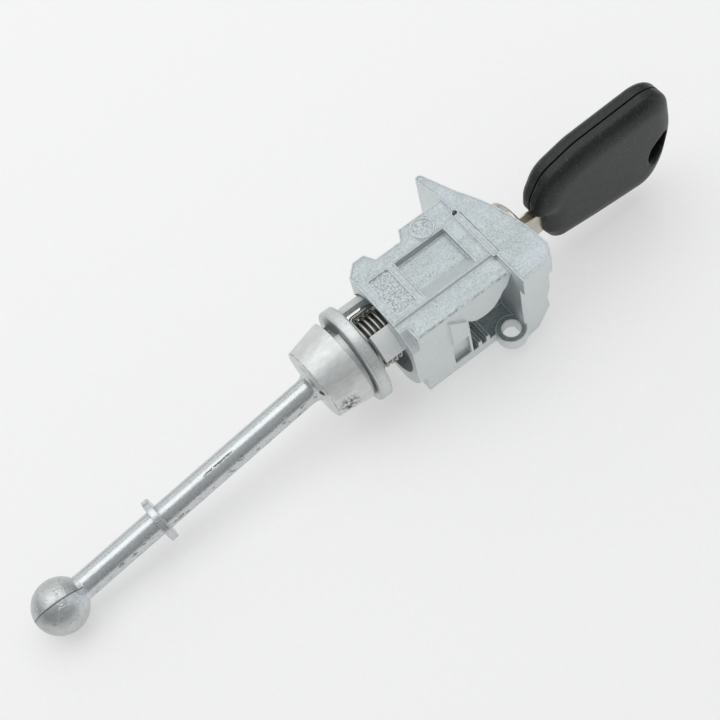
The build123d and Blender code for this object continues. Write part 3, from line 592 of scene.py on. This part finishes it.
def border_distance(points, loop):
    """Distance of each point from a closed outline."""
    a, b = loop, np.roll(loop, -1, axis=0)
    edge = b - a
    share = ((points[:, None] - a) * edge).sum(-1) / (edge**2).sum(-1)
    nearest = a + np.clip(share, 0, 1)[..., None] * edge
    return np.sqrt(((points[:, None] - nearest) ** 2).sum(-1)).min(1)


def enclosed(points, loop):
    """Whether each point lies within a closed outline."""
    a, b = loop, np.roll(loop, -1, axis=0)
    x, y = points[:, None, 0], points[:, None, 1]
    crosses = (a[:, 1] > y) != (b[:, 1] > y)
    height = np.where(b[:, 1] == a[:, 1], 1e-9, b[:, 1] - a[:, 1])
    at = a[:, 0] + (y - a[:, 1]) / height * (b[:, 0] - a[:, 0])
    return (crosses & (x < at)).sum(1) % 2 == 1


def outward(loop):
    """Unit vectors square to the outline, pointing out of it where it runs clockwise."""
    run = np.roll(loop, -1, axis=0) - np.roll(loop, 1, axis=0)
    return np.stack((-run[:, 1], run[:, 0]), 1) / np.linalg.norm(run, axis=1)[:, None]


def quarter_round(distance, width):
    share = np.clip(distance / width, 0, 1)
    return np.sqrt(1 - (1 - share) ** 2)


def inner_points(outer, hole):
    """A grid within the outline, with closer rows of points along its borders."""
    low, high = outer.min(0), outer.max(0)
    xs, zs = np.meshgrid(
        np.arange(low[0], high[0], GRID_STEP), np.arange(low[1], high[1], GRID_STEP)
    )
    inner = [np.stack((xs.ravel(), zs.ravel()), 1)]
    for loop in (outer, hole):
        for reach in BORDER_ROWS:
            for way in (-1, 1):
                row = loop + outward(loop) * reach * way
                inner.append(row[border_distance(row, loop) > 0.9 * reach])
    inner = np.concatenate(inner)
    inner = inner[enclosed(inner, outer) & ~enclosed(inner, hole)]
    clear = [border_distance(inner, loop) > BORDER_GAP for loop in (outer, hole)]
    return inner[clear[0] & clear[1]]


def triangulated(outer, hole, inner):
    """Points and triangles that fill the outline round the hole."""
    ends = len(outer), len(outer) + len(hole)
    loops = list(range(ends[0])), list(range(*ends))
    edges = [(a, b) for loop in loops for a, b in zip(loop, loop[1:] + loop[:1])]
    flat = np.concatenate((outer, hole, inner))
    found = delaunay_2d_cdt([Vector(p) for p in flat], edges, [], 0, 1e-5)
    spots = np.array([tuple(v) for v in found[0]])
    faces = [f for f in found[2] if len(f) == 3]
    middles = np.array([spots[list(f)].mean(0) for f in faces])
    keep = enclosed(middles, outer) & ~enclosed(middles, hole)
    return spots, [face for face, inside in zip(faces, keep) if inside]


def placed(name, data):
    """A new object in the scene's collection."""
    item = bpy.data.objects.new(name, data)
    bpy.context.scene.collection.objects.link(item)
    return item


def closed_between(spots, faces, top, foot):
    """Closed mesh between heights along Y: top for each point, and one flat foot."""
    bm = bmesh.new()
    above = [bm.verts.new((x * MM, y * MM, z * MM)) for (x, z), y in zip(spots, top)]
    below = [bm.verts.new((x * MM, foot * MM, z * MM)) for x, z in spots]
    twin = dict(zip(above, below))
    for face in faces:
        bm.faces.new([above[k] for k in face])
    for edge in [e for e in bm.edges if len(e.link_faces) == 1]:
        a, b = edge.verts
        bm.faces.new((a, b, twin[b], twin[a]))
    for face in faces:
        bm.faces.new([below[k] for k in face])
    bmesh.ops.delete(bm, geom=[v for v in bm.verts if not v.link_faces], context="VERTS")
    bmesh.ops.recalc_face_normals(bm, faces=bm.faces)
    return bm


def key_piece(name, bm, material):
    """The finished mesh as a piece that rides on the key."""
    mesh = bpy.data.meshes.new(name)
    bm.to_mesh(mesh)
    bm.free()
    mesh.materials.append(material)
    piece = placed(name, mesh)
    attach(piece, "key")
    return piece


def key_shell(name, side, node):
    """One half of the key head: crowned face, rounded rim, flat back at the split."""
    outer, hole = rounded(KEY_OUTLINE, 0.5), rounded(RING_HOLE, 0.4)
    spots, faces = triangulated(outer, hole, inner_points(outer, hole))
    to_rim = quarter_round(border_distance(spots, outer), SHELL_ROUND)
    to_hole = quarter_round(border_distance(spots, hole), HOLE_ROUND)
    crown = np.minimum(to_rim, HOLE_EDGE_SHARE + (1 - HOLE_EDGE_SHARE) * to_hole)
    rise = SHELL_EDGE + (SHELL_HEIGHT - SHELL_EDGE) * crown
    bm = closed_between(spots, faces, side * rise, side * SPLIT_HALF)
    piece = key_piece(name, bm, key_plastic)
    piece.data.shade_smooth()
    piece.data.set_sharp_from_angle(angle=math.radians(SHARP_ANGLE))
    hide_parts(node)


def split_core():
    """Dark core between the two shells, set back from their edges."""
    outer, hole = rounded(KEY_OUTLINE, 1.0), rounded(RING_HOLE, 0.8)
    inset = outer - outward(outer) * CORE_INSET
    inset = inset[border_distance(inset, outer) > CORE_INSET - 0.1]
    spots, faces = triangulated(inset, hole, np.empty((0, 2)))
    level = np.full(len(spots), SPLIT_HALF)
    key_piece("key_split_core", closed_between(spots, faces, level, -SPLIT_HALF), chip_plastic)


key_shell("key_shell_near", -1, "key_shell_right")
key_shell("key_shell_far", 1, "key_shell_left")
split_core()


# CAD pieces and their materials

DRESS = {
    "housing": zinc_housing,
    "face_cap": steel_cap,
    "dust_seal": seal_rubber,
    "return_spring": spring_steel,
    "plug": zinc_plug,
    "driver": zinc_driver,
    "ball_stud": steel_pin,
    "coupling_pin": steel_pin,
    "lever_rod": zinc_lever,
    "pin_retainer": spring_steel,
    "key_blade": nickel_blade,
    "key_shell_left": key_plastic,
    "key_shell_right": key_plastic,
    "transponder": chip_plastic,
}
for index in range(1, 7):
    DRESS[f"wafer_{index}"] = brass_wafer
    DRESS[f"wafer_spring_{index}"] = spring_steel

for node_name, material in DRESS.items():
    node = nodes[node_name]
    if not node.material_slots:
        node.data.materials.append(material)
    for material_slot in node.material_slots:
        material_slot.material = material


# Stage, light and camera

FLOOR_SLOPE = 0.0144
FLOOR_PLACE = (-12 * MM, 0, -19.02 * MM)
FLOOR_HALF = 3.0
WORLD_LEVELS = ((0.0, 0.27), (0.9, 0.52))
PART_MIDDLE = (-0.075, 0.0, 0.0)
TOWARD_CAMERA = (-0.175, -0.465, 0.868)
CAMERA_TARGET = (-56.6, -2.45, 0.0)
CAMERA_DISTANCE = 0.410
CAMERA_ROLL = 36.4
CAMERA_LENS = 76.05


def stage_floor():
    """Pale flat floor that the ball and the head's foot rest on."""
    mesh = bpy.data.meshes.new("floor")
    bm = bmesh.new()
    bmesh.ops.create_grid(bm, x_segments=2, y_segments=2, size=FLOOR_HALF)
    bm.to_mesh(mesh)
    bm.free()
    floor = placed("floor", mesh)
    tilt = Matrix.Rotation(math.atan(FLOOR_SLOPE), 4, "Y")
    floor.matrix_world = Matrix.Translation(Vector(FLOOR_PLACE)) @ tilt
    m = Nodes("paper")
    fibre = m.noise(700, detail=4, rough=0.6)
    tone = m.ramp(fibre, (0.3, (0.53, 0.53, 0.525)), (0.7, (0.55, 0.55, 0.545)))
    m.bsdf.inputs["Emission Color"].default_value = (1.0, 1.0, 0.99, 1.0)
    m.bsdf.inputs["Emission Strength"].default_value = 0.42
    mesh.materials.append(m.finish(tone, 0.75, 0.0, m.bump(fibre, 0.05, 0.2 * MM)))


def softbox(name, place, aim, size, power, colour=(1, 1, 1)):
    data = bpy.data.lights.new(name, "AREA")
    data.shape = "RECTANGLE"
    data.size, data.size_y = size
    data.energy = power
    data.color = colour
    light = placed(name, data)
    place, aim = Vector(place), Vector(aim)
    light.location = place
    light.rotation_euler = (aim - place).to_track_quat("-Z", "Y").to_euler()


def studio_world():
    """Grey surroundings, brighter toward the zenith."""
    world = bpy.data.worlds.new("studio")
    bpy.context.scene.world = world
    world.use_nodes = True
    tree = world.node_tree
    background = tree.nodes["Background"]
    background.inputs["Strength"].default_value = 1.0
    direction = tree.nodes.new("ShaderNodeTexCoord")
    split = tree.nodes.new("ShaderNodeSeparateXYZ")
    tree.links.new(direction.outputs["Generated"], split.inputs["Vector"])
    rise = tree.nodes.new("ShaderNodeValToRGB")
    for element, (place, level) in zip(rise.color_ramp.elements, WORLD_LEVELS):
        element.position = place
        element.color = (level * 0.98, level, level * 1.02, 1.0)
    tree.links.new(split.outputs["Z"], rise.inputs["Fac"])
    tree.links.new(rise.outputs["Color"], background.inputs["Color"])


def photo_camera():
    """Camera of the photograph, rolled so that the part's X axis rises to the right."""
    toward = Vector(TOWARD_CAMERA).normalized()
    along = (Vector(AXIS_X) - toward * toward.x).normalized()
    across = toward.cross(along)
    roll = math.radians(CAMERA_ROLL)
    right = along * math.cos(roll) - across * math.sin(roll)
    up = along * math.sin(roll) + across * math.cos(roll)
    pose = Matrix((right, up, toward)).transposed().to_4x4()
    pose.translation = Vector(CAMERA_TARGET) * MM + toward * CAMERA_DISTANCE
    data = bpy.data.cameras.new("camera")
    data.lens = CAMERA_LENS
    data.sensor_width = 36.0
    data.clip_start = 0.01
    camera = placed("camera", data)
    camera.matrix_world = pose
    bpy.context.scene.camera = camera


stage_floor()
softbox("overhead", (-0.075, 0.5, 1.2), (-0.075, 0.5, 0.0), (2.4, 1.2), 10.0, (0.99, 1.0, 1.0))
softbox("window", (-0.1, 1.15, 0.5), PART_MIDDLE, (2.2, 0.7), 2.8, (0.98, 1.0, 1.0))
softbox("fill", (0.9, -0.5, 0.35), PART_MIDDLE, (0.5, 0.4), 0.5)
studio_world()
photo_camera()
bpy.context.scene.view_settings.view_transform = "Standard"
